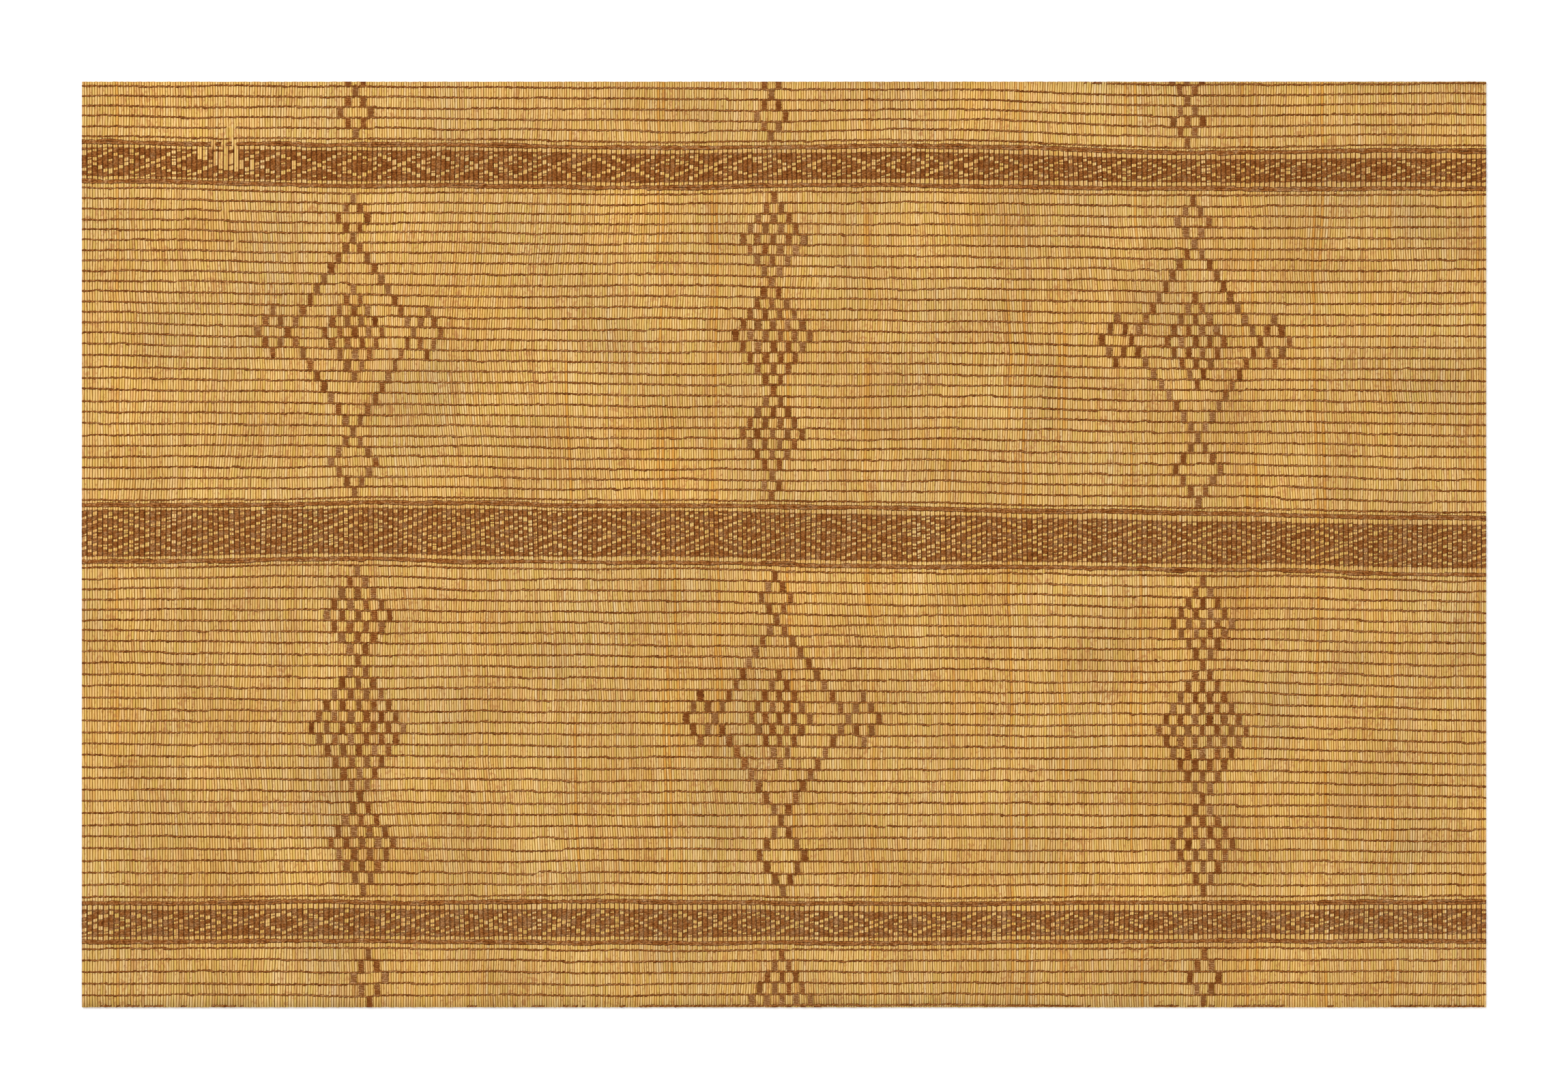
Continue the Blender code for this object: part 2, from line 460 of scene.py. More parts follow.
def straw():
    """Golden straw. Each reed has its own tone, which changes slowly along it and a little from one row gap
    to the next, now greener and now rosier, and a few are amber for a stretch. A pale line, partly wear and
    partly a painted highlight, runs down its crest, leaning a little in each gap; its sides and seams have
    brown painted shade. In the bands each pair is bound together, so the pale lines lie close and the gap
    between the pairs has broad, dark painted shade."""
    finish = Finish("golden_straw")
    maths, times, sum_of = finish.maths, finish.times, finish.sum_of
    between, rest, tinted = finish.between, finish.rest, finish.tinted
    side, tone, row, seam_shade = (finish.attribute(name) for name in ("side", "tone", "row", "seam_shade"))
    gap, in_gap = maths("FLOOR", row), maths("FRACT", row)
    of_reed = maths("FRACT", times(tone, 53.0))
    of_gap = finish.add("CombineXYZ", X=times(tone, 97.0), Y=gap)
    own = finish.add("TexWhiteNoise", noise_dimensions="2D", Vector=of_gap.outputs[0])
    brightness, leaning, wear_and_highlight = finish.add("SeparateColor", Color=own.outputs["Color"]).outputs
    shift, hue = (maths("FRACT", times(brightness, often)) for often in (13.0, 29.0))
    shift = maths("SUBTRACT", shift, 0.5)
    down_the_mat = finish.add("SeparateXYZ", Vector=finish.place).outputs["Y"]
    along = finish.add("CombineXYZ", X=times(tone, 700.0), Y=down_the_mat)
    slow = finish.noise(1.0, 1.0, (1.0, 0.14, 1.0), place=along.outputs[0])
    streaks = finish.noise(1100.0, 2.0, (1.0, 16.0, 1.0))
    specks = finish.noise(420.0, 2.0, (1.0, 2.2, 1.0))
    blotches = finish.noise(240.0, 2.0, (1.0, 1.4, 1.0))
    worn_patches = between(finish.noise(22.0, 1.0), 0.50, 0.62)
    body_tone = sum_of((tone, 0.28), (brightness, 0.30), (slow, 0.24), (streaks, 0.20))
    colour = finish.ramp(body_tone, STRAW_BODY)
    bound = sum_of(*((maths("COMPARE", gap, float(band["row"]), 0.5), 1.0) for band in BANDS))
    bound = times(bound, between(in_gap, 0.10, 0.20), between(in_gap, 0.88, 0.80))
    lean = times(maths("SUBTRACT", leaning, 0.5), maths("SUBTRACT", in_gap, 0.5), rest(bound))
    off_crest = maths("ABSOLUTE", sum_of((side, 1.0), (lean, 2.4), (shift, 0.45), (bound, 0.3)))
    # A pale line down each crest, partly wear and partly a painted highlight, leaning a little in each gap.
    worn = times(rest(between(off_crest, 0.20, 0.75)), sum_of((wear_and_highlight, 0.6), (streaks, 0.35)))
    colour = tinted(colour, STRAW_CREST_HIGHLIGHT, times(worn, rest(times(bound, 0.5))))
    colour = tinted(colour, STRAW_GREENER, times(between(hue, 0.68, 0.95), 0.55))
    colour = tinted(colour, STRAW_ROSIER, times(rest(between(hue, 0.05, 0.30)), 0.4))
    few_reeds = between(of_reed, 0.94, 0.97)
    colour = tinted(colour, STRAW_AMBER, times(few_reeds, between(slow, 0.44, 0.56), 0.85))
    colour = tinted(colour, STRAW_SPECK, times(between(specks, 0.61, 0.70), 0.7))
    colour = tinted(colour, STRAW_BLOTCH, times(between(blotches, 0.54, 0.64), worn_patches, 0.8))
    # Painted shade on the sides of each reed, down towards its seams, less of it where a pair is bound in a
    # band.
    side_shade = times(between(off_crest, 0.40, 0.95), maths("ADD", 0.45, sum_of((seam_shade, 0.5), (shift, 0.4))))
    colour = tinted(colour, STRAW_SIDE_SHADE, times(side_shade, rest(times(bound, 0.6))))
    # Painted shade in the seams, and across the broad gap between the bound pairs of a band.
    colour = tinted(colour, STRAW_SEAM_SHADE, times(between(seam_shade, 0.2, 0.9), between(slow, 0.25, 0.6)))
    colour = tinted(colour, STRAW_SEAM_SHADE, times(between(side, 0.15, 0.65), bound))
    causes = finish.noise(9.0, 3.0), finish.noise(6.0, 3.0), of_reed
    faded = finish.add("CombineColor", **{
        channel: sum_of((1.0, base), *zip(causes, shares))
        for channel, (base, *shares) in STRAW_FADED.items()})
    colour = finish.blended("MULTIPLY", 1.0, colour, faded.outputs[0])
    return finish.done(colour, 0.5, 0.25, relief=streaks, strength=0.25, distance=0.2 * MM)


STRAW_BODY = (
    (0.28, (0.42, 0.185, 0.035)),
    (0.39, (0.56, 0.290, 0.055)),
    (0.50, (0.60, 0.360, 0.074)),
    (0.61, (0.64, 0.405, 0.118)),
    (0.74, (0.67, 0.465, 0.205)),
)
STRAW_CREST_HIGHLIGHT = (0.69, 0.478, 0.186)
STRAW_GREENER, STRAW_ROSIER = (0.52, 0.345, 0.055), (0.66, 0.375, 0.150)
STRAW_AMBER = (0.54, 0.250, 0.030)
STRAW_SPECK = (0.34, 0.13, 0.03)
STRAW_BLOTCH = (0.45, 0.20, 0.055)
STRAW_SIDE_SHADE = (0.43, 0.224, 0.028)
STRAW_SEAM_SHADE = (0.27, 0.105, 0.020)

# How the straw has faded: each colour's base, and how much of it comes with paler places on the mat, with
# warmer places, and from reed to reed.
STRAW_FADED = {
    "Red": (0.60, 0.55, 0.20, 0.04),
    "Green": (0.655, 0.65, 0.0, 0.0),
    "Blue": (1.015, 0.70, -0.55, -0.16),
}
golden_straw = straw()
reeds.data.materials.append(golden_straw)
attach(reeds, "root")
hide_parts("reed_mat")

# The leather rows. Thin brown thongs are twined through the reeds in even rows, about 13 mm apart, each
# turn passing over one pair and down between it and the next. A row was pulled tight by hand, so it wavers
# and steps a little. Double rows, of two thongs twined in opposite ways, stand beside each band.
THONG_CREST, THONG_DIP, THONG_TOP_VARIES = 3.6 * MM, 3.25 * MM, 0.05 * MM
THONG_DEPTH, THONG_DEPTH_IN_DIP = 0.6 * MM, 0.35 * MM
THONG_HALF, THONG_HALF_IN_DIP = 1.35 * MM, 0.9 * MM
DOUBLE_HALF, DOUBLE_HALF_IN_DIP = 1.9 * MM, 1.75 * MM
THONG_HALF_VARIES = (0.75, 1.2)
THONG_LEAN, DOUBLE_LEAN = 1.2 * MM, 1.0 * MM    # how far to the right a turn's far side lies
DOUBLE_SPREAD = 0.95 * MM
STEP_SHARE = 0.12                               # at so many of the turns a row steps up or down
ROW_STEP, TURN_STEP = 0.42 * MM, 0.24 * MM      # by about so much, and each turn by its own
LIFT_ON_CREST, LIFT_IN_DIP = (0.35, 1.0), (0.7, 1.2)    # a lift is how light the leather is painted: partly its tone, partly painted shade
# Painted shade at a thong's edges.
LIFT_ACROSS_THONG = (0.8, 1.0, 0.8)
OVER_A_PAIR, BETWEEN_PAIRS = 1, 0               # where the painted shade between two turns lies
TURN_VARIES = 0.06
ROW_TONE, DOUBLE_TONE = 0.75, 1.15              # the palest that such a thong is
ROW_STRETCH, DOUBLE_STRETCH = 12, 1.5           # its turns from one change of tone to the next
STRETCH_SHARE = 0.7                             # how much of a turn's tone it has from its stretch
THONG_FOLDS, FOLD_MARGIN = 4, 0.004             # how a thong lies on the flat map
ACROSS_THONG = (0.0, 0.5, 1.0)

# Near the far left corner some of the leather is lost: where a row is broken, in mm from the left side.
BROKEN_ROWS = {
    6: ((171.5, 179.5),),
    7: ((174.0, 177.5),),
    "first double row": ((153.5, 154.5), (165.5, 168.5), (177.0, 179.5)),
    10: ((165.5, 172.5),),
    13: ((178.5, 182.0),),
}


def stretched_tone(count, length):
    """A tone that changes every so often, after a few turns of thong, with a little of its own at each."""
    changes = chance.uniform(size=count) < 1 / length
    of_stretch = chance.uniform(size=count + 1)[np.cumsum(changes)]
    return of_stretch * STRETCH_SHARE + chance.uniform(size=count) * (1 - STRETCH_SHARE)


def folded(share, folds, lane, lanes):
    """The strips of the map that a long thong fills when it is laid in folds: lane across and run along."""
    fold = np.floor((share[:-1] + share[1:]) / 2 * folds)
    run = np.stack([share[:-1], share[1:]], axis=1) * folds - fold[:, None]
    across = (lane * folds + np.stack([fold, fold + 1], axis=1)) / (lanes * folds)
    return across, FOLD_MARGIN + (1 - 2 * FOLD_MARGIN) * run


def inside(y, margin):
    return np.abs(y) < MAT_LENGTH / 2 - margin


def kept_tubes(kept, rings, values, across, run):
    """A tube for each stretch of a thong's rings that are all kept."""
    edges = np.flatnonzero(np.diff(np.concatenate([[0], kept.astype(int), [0]])))
    for begin, end in zip(edges[::2], edges[1::2]):
        if end - begin > 1:
            own = {key: value[begin:end] for key, value in values.items()}
            yield rings[begin:end], own, across[begin:end - 1], run[begin:end - 1]


def thong(row, offset, lean, halves, tones, darkest, lane, lanes, broken=()):
    """The thong of one row, in as many tubes as the cut and the worn places leave of it."""
    count = REEDS + 1
    reed = np.arange(count)
    is_crest = reed % 2 == 1
    x = reed_x(reed, line_y(row, reed_x(reed, 0.0)))
    changes = chance.uniform(size=count) < STEP_SHARE
    steps = chance.normal(0, ROW_STEP, count + 1)[np.cumsum(changes)] + chance.normal(0, TURN_STEP, count)
    y = line_y(row, x) + offset + steps
    top = np.where(is_crest, THONG_CREST, THONG_DIP) + unevenness(x, y)
    top += chance.normal(0, THONG_TOP_VARIES, count)
    half = np.where(is_crest, *halves) * chance.uniform(*THONG_HALF_VARIES, count)
    depth = np.where(is_crest, THONG_DEPTH, THONG_DEPTH_IN_DIP)
    side = np.array((1, 0, -1))
    rings = ring_points(
        x[:, None] + side * (lean * side_fade(x))[:, None],
        y[:, None] + side * half[:, None],
        top[:, None] - np.abs(side) * depth[:, None],
    )
    palest, stretch = tones
    values = {
        "painted_light_and_tone": drawn_by(is_crest, LIFT_ON_CREST, LIFT_IN_DIP)[:, None] * LIFT_ACROSS_THONG,
        "tone": palest * stretched_tone(count, stretch)[:, None],
        "turn": (reed[:, None] + darkest) / 2 + chance.normal(0, TURN_VARIES, (count, 1)),
    }
    kept = inside(y, halves[0])
    for begin, end in broken:
        kept &= (x + MAT_WIDTH / 2 < begin * MM) | (x + MAT_WIDTH / 2 > end * MM)
    yield from kept_tubes(kept, rings, values, *folded(reed / REEDS, THONG_FOLDS, lane, lanes))


FAR_ROWS = range(FIRST_ROW + 1, LOWER_FIELD)
NEAR_ROWS = range(LOWER_FIELD, LAST_ROW)
DOUBLE_ROWS = [band["row"] + band[side] for band in BANDS for side in ("double_far", "double_near")]


def row_tubes(rows):
    halves, tones = (THONG_HALF, THONG_HALF_IN_DIP), (ROW_TONE, ROW_STRETCH)
    for lane, row in enumerate(rows):
        broken = BROKEN_ROWS.get(row, ())
        yield from thong(row, 0.0, THONG_LEAN, halves, tones, OVER_A_PAIR, lane, len(rows), broken)


def double_row_tubes():
    halves, tones = (DOUBLE_HALF, DOUBLE_HALF_IN_DIP), (DOUBLE_TONE, DOUBLE_STRETCH)
    for place, row in enumerate(DOUBLE_ROWS):
        broken = BROKEN_ROWS["first double row"] if place == 0 else ()
        for side in (1, -1):
            lane, lanes = 2 * place + (side < 0), 2 * len(DOUBLE_ROWS)
            offset, lean = side * DOUBLE_SPREAD, side * DOUBLE_LEAN
            yield from thong(row, offset, lean, halves, tones, BETWEEN_PAIRS, lane, lanes, broken)


far_rows = twined_mesh("far_rows", row_tubes(FAR_ROWS), ACROSS_THONG, turned=True)
near_rows = twined_mesh("near_rows", row_tubes(NEAR_ROWS), ACROSS_THONG, turned=True)
double_rows = twined_mesh("double_rows", double_row_tubes(), ACROSS_THONG, turned=True)


def leather():
    """Worn brown leather thong, mottled all over, with painted shade where it dips between the reeds, at its
    edges and in its grooves, and between one turn and the next."""
    finish = Finish("brown_leather")
    maths, times, sum_of, between = finish.maths, finish.times, finish.sum_of, finish.between
    tone, painted_light_and_tone, turn = (finish.attribute(name) for name in ("tone", "painted_light_and_tone", "turn"))
    grain, patches = finish.noise(1500.0, 3.0), between(finish.noise(170.0, 2.0), 0.3, 0.7)
    mottling = between(finish.noise(560.0, 2.0, (1.3, 1.0, 1.0), turned=0.28), 0.40, 0.60)
    # Low at each whole turn: painted shade in the crease between one turn and the next, and bump there too.
    strand = maths("SMOOTH_MIN", maths("PINGPONG", turn, 0.5), 0.25, 0.2)
    hide = finish.ramp(sum_of((tone, 0.55), (patches, 0.35), (grain, 0.1)), BROWN_HIDE)
    # Painted shade from each point's lift and from the creases between turns, with grain and mottling,
    # darkens the hide.
    causes = (painted_light_and_tone, 0.50, 0.42), (strand, 2.2, 0.52), (grain, 0.8, 0.6), (mottling, 0.75, 0.55)
    painted_shade_and_mottle = times(*(maths("MULTIPLY_ADD", *cause) for cause in causes))
    colour = finish.blended("MULTIPLY", 1.0, hide, finish.ramp(painted_shade_and_mottle, PAINTED_SHADE_AND_MOTTLE_TINT))
    relief = sum_of((strand, 2.0), (mottling, 0.5), (grain, 1.0))
    return finish.done(colour, 0.7, 0.05, relief, strength=0.4, distance=0.3 * MM)


BROWN_HIDE = (
    (0.12, (0.20, 0.062, 0.011)),
    (0.35, (0.29, 0.100, 0.020)),
    (0.55, (0.345, 0.138, 0.037)),
    (0.75, (0.36, 0.175, 0.066)),
    (0.90, (0.42, 0.225, 0.100)),
)
# How that painted shade, with grain and mottling, darkens the hide: the darker, the redder.
PAINTED_SHADE_AND_MOTTLE_TINT = (
    (0.20, (0.44, 0.33, 0.185)),
    (0.50, (0.60, 0.505, 0.395)),
    (0.80, (0.82, 0.79, 0.74)),
    (1.00, (1.06, 1.05, 1.02)),
)
brown_leather = leather()
for piece in (far_rows, near_rows, double_rows):
    piece.data.materials.append(brown_leather)
    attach(piece, "root")
    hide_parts("reed_mat")

# The bands. Between two double rows the thong is wound closely round each pair of reeds in turn, so every
# pair is a ribbed column of leather. Small windows leave the reeds bare, and together they make nested
# diamonds.
WRAP_RIDGE, WRAP_GROOVE, WRAP_EDGE = 3.4 * MM, 3.05 * MM, 3.15 * MM
WRAP_ACROSS = (-0.005, 0.22, 0.78, 1.005)       # a ring's points, in shares of the pair's width
WRAP_TOP_VARIES, WRAP_SIDE_VARIES, WRAP_TURN_VARIES = 0.06 * MM, 0.06 * MM, 0.08 * MM
WRAP_SLANT = (-0.1 * MM, 0.85 * MM)
COVER_SIDES = ("cover_to", "cover_from")        # the near side of what a band covers, and the far one
COVER_VARIES = 0.45 * MM
WINDOW_TOP, WINDOW_EDGE, WINDOW_LIFT = 1.2 * MM, 1.0 * MM, 0.2      # there the wrap passes under the reeds, in painted shade
# Painted shade in the grooves between turns, and at a column's edges where it meets the next.
LIFT_ON_RIDGE, LIFT_IN_GROOVE, LIFT_AT_EDGE = (0.65, 1.0), (0.05, 0.75), 0.4
WRAP_STRETCH = 5
WRAP_TONE, COLUMN_TONE = 0.65, 0.25     # the palest that a turn is, and what its column may add
DIAMOND_COLUMNS = 16
DIAMOND_WAIST = 45
STEP_STATIONS = 4
WINDOW_LINES = 4            # steps from one line of windows to the next
WINDOW_STATIONS = (3, 5)
CHINK_STATIONS = (1, 2)     # a chink is a place where two turns of thong stand a little apart
STATIONS_TO_A_CHINK = 42
NARROW_REACH, WIDE_REACH = 5, 10    # steps from a band's middle to its border, which has no windows
COLUMN_FOLDS = 8            # the flat map holds a band's columns in so many lines
ACROSS_COLUMN = (0.0, 0.22, 0.78, 1.0)

# Where the first band is worn through: the column, and the share of it that is bare, from its far side.
WORN_COLUMNS = {
    22: (0.0, 0.34), 23: (0.04, 0.23), 25: (0.09, 0.45), 26: (0.09, 0.64), 27: (0.0, 0.68),
    28: (0.12, 0.35), 29: (0.0, 0.73), 30: (0.38, 0.68), 32: (0.35, 0.68),
}


def from_waist(column):
    """How many columns a column is from the nearest waist of the diamonds."""
    turn = (column - DIAMOND_WAIST) % DIAMOND_COLUMNS
    return min(turn, DIAMOND_COLUMNS - turn)


def narrow_windows(column, step):
    """Whether a narrow band leaves the reeds bare here, so many steps from the band's middle."""
    turn = from_waist(column)
    return (turn <= WINDOW_LINES and step == turn) or (turn >= WINDOW_LINES and step == turn - WINDOW_LINES)


def wide_windows(column, step):
    """The same for the wide band, where the diamonds lie one in another."""
    turn = from_waist(column)
    if turn == DIAMOND_COLUMNS // 2:
        return step in (2, 8)
    return step < WIDE_REACH and step % WINDOW_LINES == turn % WINDOW_LINES and (turn, step) != (0, 8)


def cover_y(band, key, x):
    """Y of the near or far side of what a band covers."""
    far, near = (line_y(row, x) for row in (band["row"], band["row"] + 1))
    return far + (near - far) * drift(band[key], np.asarray(x) / MAT_WIDTH + 0.5)


def column_x(band, column):
    """X of the middle of a column, at the near side of its band."""
    near = cover_y(band, "cover_to", MAT_WIDTH * ((column + 0.5) / PAIRS - 0.5))
    return reed_x(2 * column + 1, near)


def band_tubes(band, reach, windows, worn=()):
    """One ribbed column for each pair, two turns of thong to a step, from the near side to the far side."""
    steps = np.arange(-reach, reach + 1)
    stations = STEP_STATIONS * len(steps) + 1
    station = np.arange(stations)
    is_ridge = station % 2 == 1
    across = np.array(WRAP_ACROSS)
    in_fold = math.ceil(PAIRS / COLUMN_FOLDS)
    for column in range(PAIRS):
        x = column_x(band, column)
        near, far = (cover_y(band, side, x) + chance.normal(0, COVER_VARIES) for side in COVER_SIDES)
        y = np.linspace(near, far, stations) + chance.normal(0, WRAP_TURN_VARIES, stations)
        painted_light_and_tone = drawn_by(is_ridge, LIFT_ON_RIDGE, LIFT_IN_GROOVE)
        top = np.where(is_ridge, WRAP_RIDGE, WRAP_GROOVE)
        top += unevenness(x, y) + chance.normal(0, WRAP_TOP_VARIES, stations)
        bare = np.zeros(stations, bool)
        chinks = chance.poisson(stations / STATIONS_TO_A_CHINK)
        for first in chance.integers(2, stations - 3, chinks):
            bare[first:first + chance.integers(*CHINK_STATIONS, endpoint=True)] = True
        for place, step in enumerate(steps):
            if windows(column, abs(step)):
                high = chance.integers(*WINDOW_STATIONS, endpoint=True)
                first = STEP_STATIONS * place + 2 - high // 2 + chance.integers(0, 2)
                bare[first:first + high] = True
        if column in worn:
            from_far = 1 - station / (stations - 1)
            bare |= (from_far >= worn[column][0]) & (from_far <= worn[column][1])
        edge = np.where(bare, WINDOW_EDGE, WRAP_EDGE + unevenness(x, y))
        top[bare], painted_light_and_tone[bare] = WINDOW_TOP, WINDOW_LIFT
        left, right = (
            laid_x(2 * side, y) + chance.normal(0, WRAP_SIDE_VARIES, stations)
            for side in (column, column + 1))
        rings = ring_points(
            left[:, None] + (right - left)[:, None] * across,
            y[:, None] + chance.uniform(*WRAP_SLANT) * (2 * across - 1),
            each_ring(edge, top, top, edge),
        )
        tone = WRAP_TONE * stretched_tone(stations, WRAP_STRETCH)[:, None]
        values = {
            "painted_light_and_tone": each_ring(LIFT_AT_EDGE, painted_light_and_tone, painted_light_and_tone, LIFT_AT_EDGE),
            "tone": tone + chance.uniform(0.0, COLUMN_TONE) + band["paler"],
            "turn": station[:, None] / 2,
        }
        fold, lane = divmod(column, in_fold)
        yield rings, values, *map_strip(stations, fold, COLUMN_FOLDS, lane, in_fold)


far_layout, middle_layout, near_layout = BANDS
far_tubes = band_tubes(far_layout, NARROW_REACH, narrow_windows, WORN_COLUMNS)
middle_tubes = band_tubes(middle_layout, WIDE_REACH, wide_windows)
near_tubes = band_tubes(near_layout, NARROW_REACH, narrow_windows)
band_pieces = [
    twined_mesh("far_band", far_tubes, ACROSS_COLUMN),
    twined_mesh("middle_band", middle_tubes, ACROSS_COLUMN),
    twined_mesh("near_band", near_tubes, ACROSS_COLUMN),
]
for piece in band_pieces:
    piece.data.materials.append(brown_leather)
    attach(piece, "root")
    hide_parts("reed_mat")

# The small leather blocks. In the two fields and the two strips, five turns of thong cover about two and a
# half reeds from one row to the next. Such blocks, set three reeds apart, draw big diamonds and chains of
# lozenges down the mat.
BLOCK_PITCH = 3                                 # reeds
BLOCK_HALF, BLOCK_HALF_VARIES = 1.25, (0.95, 1.1)       # reeds, and how much more or less
BLOCK_TURNS = 5
BLOCK_RIDGE, BLOCK_GROOVE, BLOCK_EDGE = 3.45 * MM, 3.15 * MM, 2.2 * MM
BLOCK_TOP_VARIES, BLOCK_SIDE_VARIES, BLOCK_TURN_VARIES = 0.06 * MM, 0.2 * MM, 0.15 * MM
BLOCK_SLANT = (-0.3 * MM, 1.3 * MM)
LEVEL_STATIONS = 2                              # the slant comes in over so many, at both ends
BLOCK_END = 0.5 * MM
CUT_MARGIN, SHORTEST_BLOCK = 0.2 * MM, 1.5 * MM         # at the mat's cuts
# Painted shade in a block's grooves and at its edges; each block also has a lift of its own, as tone.
LIFT_ON_BLOCK, LIFT_IN_BLOCK, LIFT_OF_BLOCK = (0.1, 0.8), (-0.5, 0.0), (-0.5, 0.35)
LIFT_ACROSS_BLOCK = (0.2, 1.0, 1.0, 0.2)
BLOCK_TONE, BLOCK_TURN_TONE = (0.2, 1.1), 0.25
BLOCK_MAP_SIDE = 26     # the flat map holds the 629 blocks in so many lines of as many
ACROSS_BLOCK = (0.0, 0.1, 0.9, 1.0)

# Where the blocks of each row stand, in steps of three reeds from the middle of the figure, from the far
# row to the near one. A chain's rows are written as their number of blocks, which stand two steps apart.
BIG_DIAMOND = (
    (0,), (1,), (2,), (1,), (0,), (1,), (2,), (3,), (4,),
    (0, 5), (1, 6), (0, 2, 7, 11), (1, 3, 8, 10, 12), (0, 2, 4, 9, 13), (1, 3, 8, 10, 12), (0, 2, 7, 11),
    (1, 6), (0, 5), (4,), (3,), (2,), (1,), (0,), (1,), (2,), (3,), (2,), (1,), (0,),
)
UPPER_CHAIN = (1, 2, 3, 4, 5, 4, 3, 2, 1, 2, 3, 4, 5, 6, 5, 4, 3, 2, 1, 2, 3, 4, 5, 4, 3, 2, 1, 2, 1)
LOWER_CHAIN = (1, 2, 3, 4, 5, 4, 3, 2, 1, 2, 3, 4, 5, 6, 7, 6, 5, 4, 3, 2, 1, 2, 3, 4, 5, 4, 3, 2, 1)
FAR_STRIP_FIGURE = ((0,), (1,), (0,), (1,), (2,), (1,), (0,))
FAR_STRIP_RIGHT_FIGURE = ((0, 2), (1,), (0,), (1,), (0, 2), (1,), (0,))
NEAR_STRIP_FIGURE = ((0,), (1,), (2,), (1,), (0,), (1,))
NEAR_STRIP_MIDDLE_FIGURE = ((0,), (1,), (0, 2), (1, 3), (0, 2, 4), (1, 3, 5))


def both_sides(rows):
    return [sorted({side * place for place in row for side in (1, -1)}) for row in rows]


def chain(counts):
    return [range(1 - count, count, 2) for count in counts]


# Each figure: the row at its far end, the reed at its middle, and its rows.
FIGURES = (
    (FIRST_ROW, 105.5, both_sides(FAR_STRIP_FIGURE)),
    (FIRST_ROW, 275.5, both_sides(FAR_STRIP_FIGURE)),
    (FIRST_ROW, 444.5, both_sides(FAR_STRIP_RIGHT_FIGURE)),
    (UPPER_FIELD, 104.5, both_sides(BIG_DIAMOND)),
    (UPPER_FIELD, 276.5, chain(UPPER_CHAIN)),
    (UPPER_FIELD, 446.5, both_sides(BIG_DIAMOND)),
    (LOWER_FIELD, 105.5, chain(LOWER_CHAIN)),
    (LOWER_FIELD, 277.5, both_sides(BIG_DIAMOND)),
    (LOWER_FIELD, 448.5, chain(LOWER_CHAIN)),
    (NEAR_STRIP, 107.5, both_sides(NEAR_STRIP_FIGURE)),
    (NEAR_STRIP, 276.5, both_sides(NEAR_STRIP_MIDDLE_FIGURE)),
    (NEAR_STRIP, 448.5, both_sides(NEAR_STRIP_FIGURE)),
)


def block(row, middle, number):
    """One block between two rows, or what the mat's cut leaves of it."""
    x = reed_x(middle, 0.0)
    y_limit = MAT_LENGTH / 2 - CUT_MARGIN
    far = min(line_y(row, x) - BLOCK_END, y_limit)
    near = max(line_y(row + 1, x) + BLOCK_END, -y_limit)
    if far - near < SHORTEST_BLOCK:
        return None
    stations = 2 * BLOCK_TURNS + 1
    station = np.arange(stations)
    is_ridge = station % 2 == 1
    y = np.linspace(near, far, stations)
    y[1:-1] += chance.normal(0, BLOCK_TURN_VARIES, stations - 2)
    top = np.where(is_ridge, BLOCK_RIDGE, BLOCK_GROOVE) + chance.normal(0, BLOCK_TOP_VARIES, stations)
    top += unevenness(x, y)
    half = BLOCK_HALF * chance.uniform(*BLOCK_HALF_VARIES)
    left, right = (
        laid_x(middle + side, y) + chance.normal(0, BLOCK_SIDE_VARIES, stations) for side in (-half, half))
    from_end = np.minimum(station, station[::-1])
    lean = chance.uniform(*BLOCK_SLANT) * np.clip(from_end / LEVEL_STATIONS, 0, 1)
    across = np.array(ACROSS_BLOCK)
    rings = ring_points(
        left[:, None] + (right - left)[:, None] * across,
        np.clip(y[:, None] - lean[:, None] * (2 * across - 1), -y_limit, y_limit),
        each_ring(BLOCK_EDGE, top, top, BLOCK_EDGE),
    )
    painted_light_and_tone = drawn_by(is_ridge, LIFT_ON_BLOCK, LIFT_IN_BLOCK)[:, None] * LIFT_ACROSS_BLOCK
    values = {
        "painted_light_and_tone": painted_light_and_tone + chance.uniform(*LIFT_OF_BLOCK),
        "tone": chance.uniform(*BLOCK_TONE) + chance.uniform(0, BLOCK_TURN_TONE, (stations, 1)),
        "turn": station[:, None] / 2,
    }
    line, lane = divmod(number, BLOCK_MAP_SIDE)
    return rings, values, *map_strip(stations, line, BLOCK_MAP_SIDE, lane, BLOCK_MAP_SIDE)


def block_tubes():
    number = 0
    for first_row, middle, figure in FIGURES:
        for row, places in enumerate(figure, first_row):
            for place in places:
                made = block(row, middle + BLOCK_PITCH * place, number)
                if made:
                    yield made
                    number += 1


blocks = twined_mesh("leather_blocks", block_tubes(), ACROSS_BLOCK)
blocks.data.materials.append(brown_leather)
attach(blocks, "root")
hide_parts("reed_mat")

# The back. Each thong also passes under the reeds, where it lies flat against the floor: a strip below each
# row, and closely wound columns below the bands.
BACK_TOP, BACK_LOW, BACK_HIGH = 0.75 * MM, 0.05 * MM, 0.4 * MM
BACK_HALF, DOUBLE_BACK_HALF = 1.5 * MM, 2.7 * MM
BACK_REEDS = 6              # reeds from one station of a strip to the next
BACK_ROW_VARIES = 0.3 * MM
